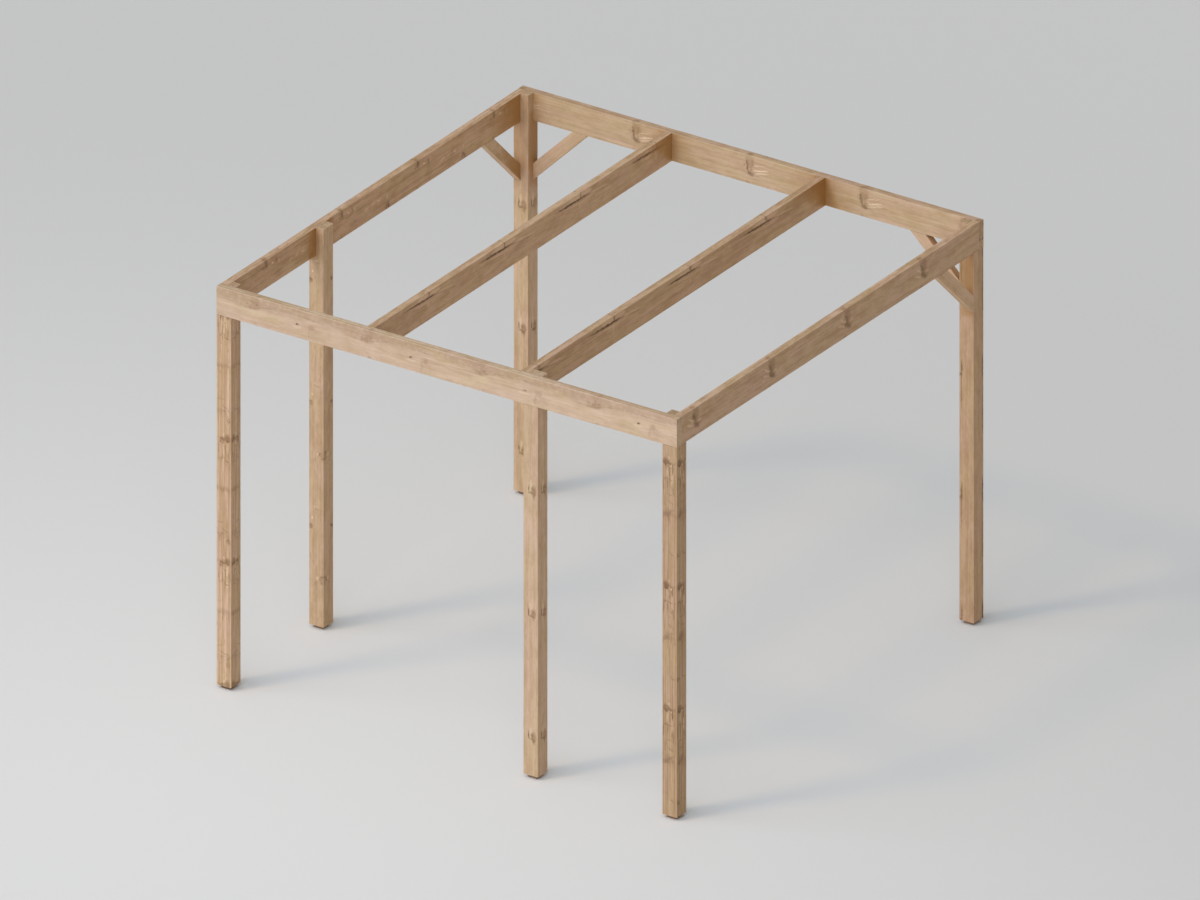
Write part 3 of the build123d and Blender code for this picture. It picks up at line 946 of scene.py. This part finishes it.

# Each top tone below is painted light and shade on the timber's upward faces
dress_beam("beam_front", 7.0, (0.05, 0.02), Contrast=0.55, Tone=(1.06, 1.14, 1.25),
           Top_Tone=(1.07, 1.08, 1.06),
           knots=[knot(0.252, -SIDE, TOP - 0.035, 0.03, Stretch=0.6, Ragged=0.8, Bend=0.8, Ring=0.0,
                       Strength=0.3)],
           whorls=[whorl(0.252, BEAM_SIDE, BRUSHED_KNOT), whorl(0.524, BEAM_SIDE, PIN_KNOT),
                   whorl(0.598, BEAM_SIDE, PALE_STEP), whorl(0.262, BEAM_TOP, TOP_SMUDGE)])
dress_beam("beam_back", 8.0, (0.05, 0.0), Contrast=0.65, Tone=(0.97, 1.0, 0.99), Top_Tone=(0.885, 0.84, 0.84),
           beside=[nook("rafter_left", 0.06, 0.4), nook("rafter_left", 0.25, 0.25),
                   nook("rafter_right", 0.1, 0.6, lean=-0.6), nook("rafter_right", 0.28, 0.25),
                   nook("post_back_left", 0.08, 0.5), nook("post_back_right", 0.05, 0.5)],
           knots=[knot(0.022, -SIDE, TOP - 0.075, 0.034, Stretch=0.5, Ragged=0.8, Bend=0.8, Ring=0.0,
                       Strength=0.3)],
           whorls=[whorl(0.022, BEAM_SIDE, CURLED_KNOT), whorl(0.016, BEAM_TOP, TOP_SMUDGE)])
dress_beam("beam_right", 9.0, (0.05, 0.0), Tone=(0.9, 0.88, 0.88), Top_Tone=(1.08, 1.08, 1.09),
           knots=[knot(0.131, -SIDE, TOP - 0.07, 0.03, Stretch=0.6, Ragged=0.8, Ring=0.0, Strength=0.3)],
           whorls=[whorl(0.131, BEAM_SIDE, FORKED_KNOT), whorl(0.125, BEAM_TOP, TOP_SMUDGE)])
dress_beam("beam_left", 10.0, (0.05, 0.01), Contrast=1.25, Tone=(0.92, 0.86, 0.785),
           Top_Tone=(1.06, 1.09, 1.18),
           beside=[nook("post_left_middle", 0.13, 0.95), nook("post_back_left", 0.34, 0.95)],
           whorls=[whorl(0.375, BEAM_SIDE, EDGE_STROKE), whorl(0.074, BEAM_SIDE, GABLE_KNOT),
                   whorl(0.375, BEAM_TOP, TOP_SMUDGE)])
dress_beam("rafter_left", 11.0, (0.05, -0.02), Tone=(0.95, 0.905, 0.855), Top_Tone=(1.02, 1.04, 1.07),
           beside=[nook("beam_back", 0.218, 0.9, lean=2.6)],
           whorls=[whorl(0.531, BEAM_SIDE, RAFTER_TICK)])
dress_beam("rafter_right", 12.0, (0.05, -0.02), Tone=(0.87, 0.82, 0.745), Top_Tone=(1.06, 1.08, 1.165),
           beside=[nook("beam_back", 0.25, 0.98, lean=2.6)],
           whorls=[whorl(0.104, BEAM_SIDE, RAFTER_TICK)])

# Turns that carry X up along each brace: to the right, to the left, and to the front for the side ones.
# SLOPE_PART is how much of a brace's direction goes up, and as much of it goes sideways
UP_TO_RIGHT = (0.0, -BRACE_SLOPE, 0.0)
UP_TO_LEFT = (0.0, -math.pi + BRACE_SLOPE, 0.0)
UP_TO_FRONT = (0.0, -BRACE_SLOPE, math.radians(-90))
SLOPE_PART = math.sqrt(0.5)
SIDE_BRACE_GRAIN = (0.0, -SLOPE_PART, SLOPE_PART)
dress_brace("brace_back_left", 13.0, UP_TO_RIGHT, (SLOPE_PART, 0.0, SLOPE_PART), (0.04, 0.01), Contrast=0.8)
# This brace's top tone is painted shade on its upward face
dress_brace("brace_back_right", 14.0, UP_TO_LEFT, (-SLOPE_PART, 0.0, SLOPE_PART), (0.04, 0.01), Contrast=0.8,
            Top_Tone=(0.75, 0.62, 0.5))
dress_brace("brace_left_side", 15.0, UP_TO_FRONT, SIDE_BRACE_GRAIN, (-0.04, 0.01), Contrast=0.8,
            beside=[nook("post_back_left", 0.3, 0.95)])
dress_brace("brace_right_side", 16.0, UP_TO_FRONT, SIDE_BRACE_GRAIN, (-0.04, 0.01), Contrast=0.8)

PAD_PLACES = ["front_left", "front_middle", "front_right", "left_middle", "back_left", "back_right"]
for index, place in enumerate(PAD_PLACES):
    node = "foot_" + place
    centre, half = middle_of(node)
    dress(node, timber_material(node, FIRST_PAD_SEED + index, centre, LYING_ACROSS, (1.0, 0.0, 0.0), half,
                                (0.06, 0.03), ring_width=PAD_RING_WIDTH, Pale=PAD_PALE, Warm=PAD_WARM,
                                Late_Colour=PAD_LATE))


# The floor, the lamps and the camera

def add_floor():
    """A plain pale floor. The camera sees its own colour with painted light, paler near its front left, and
    the light it throws on the wood is warm.
    """
    bpy.ops.object.select_all(action="DESELECT")
    bpy.ops.mesh.primitive_plane_add(size=FLOOR_SIZE, location=(0.0, 0.0, 0.0))
    floor = bpy.context.active_object
    floor.name = "studio_floor"
    material = bpy.data.materials.new("studio_floor")
    material.use_nodes = True
    tree = material.node_tree
    where = tree.nodes.new("ShaderNodeTexCoord")
    # Painted light: the colour the camera sees is palest near the front left centre and fades away from it
    away = vectors(tree, "SUBTRACT", where.outputs["Object"], FLOOR_LIGHT_POOL_CENTRE)
    share = fade(tree, vectors(tree, "LENGTH", away), 0.0, FLOOR_FADE)
    seen_colour = tinted(tree, share, FLOOR_NEAR_COLOUR, FLOOR_FAR_COLOUR)
    ray = tree.nodes.new("ShaderNodeLightPath")
    colour = tinted(tree, ray.outputs["Is Camera Ray"], FLOOR_BOUNCE_COLOUR, seen_colour)
    feed_all(tree, tree.nodes["Principled BSDF"].inputs,
             {"Base Color": colour, "Roughness": FLOOR_ROUGHNESS, "Specular IOR Level": FLOOR_SHINE})
    floor.data.materials.append(material)


def add_lamp(name, direction, strength, spread, colour):
    """A far soft lamp. direction points from the object to the lamp."""
    lamp = bpy.data.lights.new(name, "SUN")
    lamp.energy = strength
    lamp.color = colour
    lamp.angle = math.radians(spread)
    holder = bpy.data.objects.new(name, lamp)
    holder.rotation_euler = Vector(direction).to_track_quat("Z", "Y").to_euler()
    bpy.context.scene.collection.objects.link(holder)


def add_surroundings():
    """Even pale light from all round. The camera sees it as the floor's own far colour."""
    world = bpy.data.worlds.new("studio")
    bpy.context.scene.world = world
    world.use_nodes = True
    tree = world.node_tree
    ray = tree.nodes.new("ShaderNodeLightPath")
    seen = product(tree, ray.outputs["Is Camera Ray"], SURROUNDINGS_SEEN - SURROUNDINGS_LIGHT)
    strength = sums(tree, "ADD", seen, SURROUNDINGS_LIGHT)
    colour = tinted(tree, ray.outputs["Is Camera Ray"], SURROUNDINGS_COLOUR, WHITE)
    feed_all(tree, tree.nodes["Background"].inputs, {"Strength": strength, "Color": colour})


def add_camera():
    """The photograph's own view, which has no perspective."""
    azimuth = math.radians(VIEW_AZIMUTH)
    elevation = math.radians(VIEW_ELEVATION)
    level = math.cos(elevation)
    back = Vector((math.sin(azimuth) * level, -math.cos(azimuth) * level, math.sin(elevation)))
    camera = bpy.data.cameras.new("camera")
    camera.type = "ORTHO"
    camera.ortho_scale = VIEW_WIDTH
    camera.clip_end = CAMERA_REACH
    holder = bpy.data.objects.new("camera", camera)
    holder.location = VIEW_CENTRE + back * CAMERA_DISTANCE
    holder.rotation_euler = back.to_track_quat("Z", "Y").to_euler()
    bpy.context.scene.collection.objects.link(holder)
    bpy.context.scene.camera = holder


add_floor()
add_lamp("key_lamp", KEY_DIRECTION, KEY_STRENGTH, KEY_SPREAD, KEY_COLOUR)
add_lamp("sky_lamp", SKY_DIRECTION, SKY_STRENGTH, SKY_SPREAD, SKY_COLOUR)
add_lamp("fill_lamp", FILL_DIRECTION, FILL_STRENGTH, FILL_SPREAD, FILL_COLOUR)
add_surroundings()
add_camera()
bpy.context.scene.view_settings.view_transform = "Standard"
